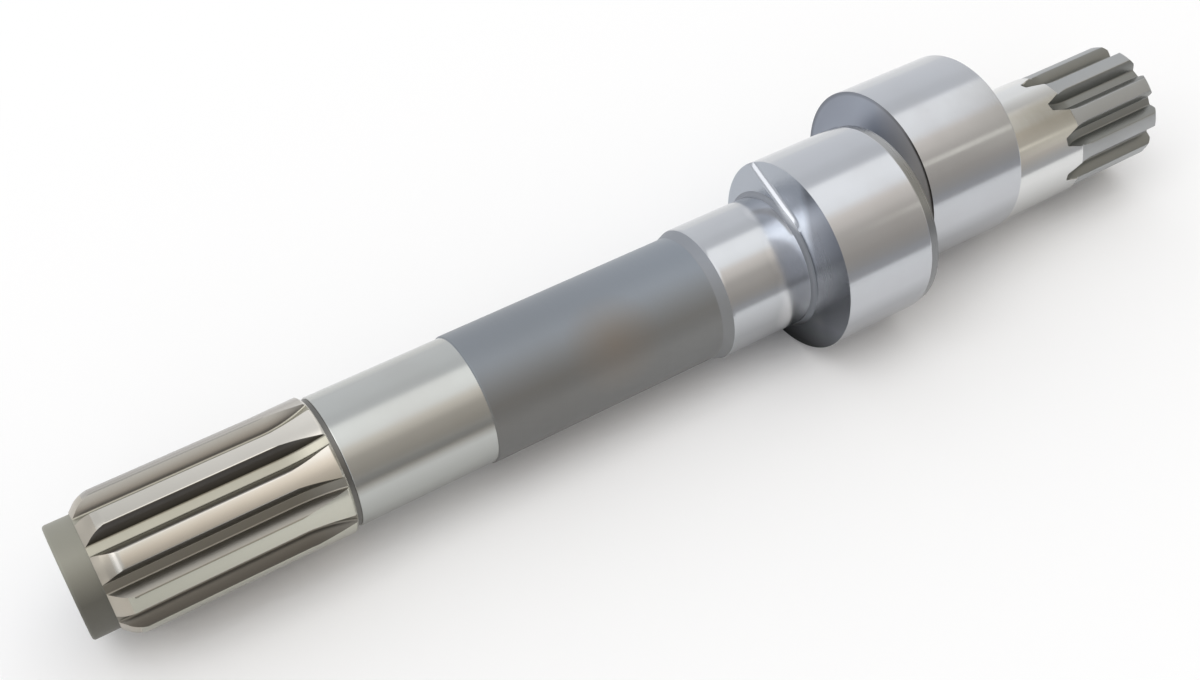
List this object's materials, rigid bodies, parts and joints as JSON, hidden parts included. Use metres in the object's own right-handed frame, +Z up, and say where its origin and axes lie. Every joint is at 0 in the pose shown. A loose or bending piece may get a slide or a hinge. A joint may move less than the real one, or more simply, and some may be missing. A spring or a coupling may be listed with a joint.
{
  "type": "hydraulic pump shaft",
  "caption": "Pump shaft with offset round lobes side by side, ground bearing seats and journal, and external involute splines at both ends.",
  "frame": {"origin": "on the shaft axis, in the middle of the front bearing seat", "axes": "+X along the shaft from the end with the plain stub to the other spline end, +Z up, with both lobes leaning up on either side of it, +Y towards the second lobe"},
  "size_m": [0.4051, 0.0806, 0.0663],
  "materials": {
    "ground_steel": "ground steel, smooth and shiny on seats and lobes, duller between them"
  },
  "bodies": {
    "root": {"pump_shaft": "ground_steel"}
  },
  "joints": []
}
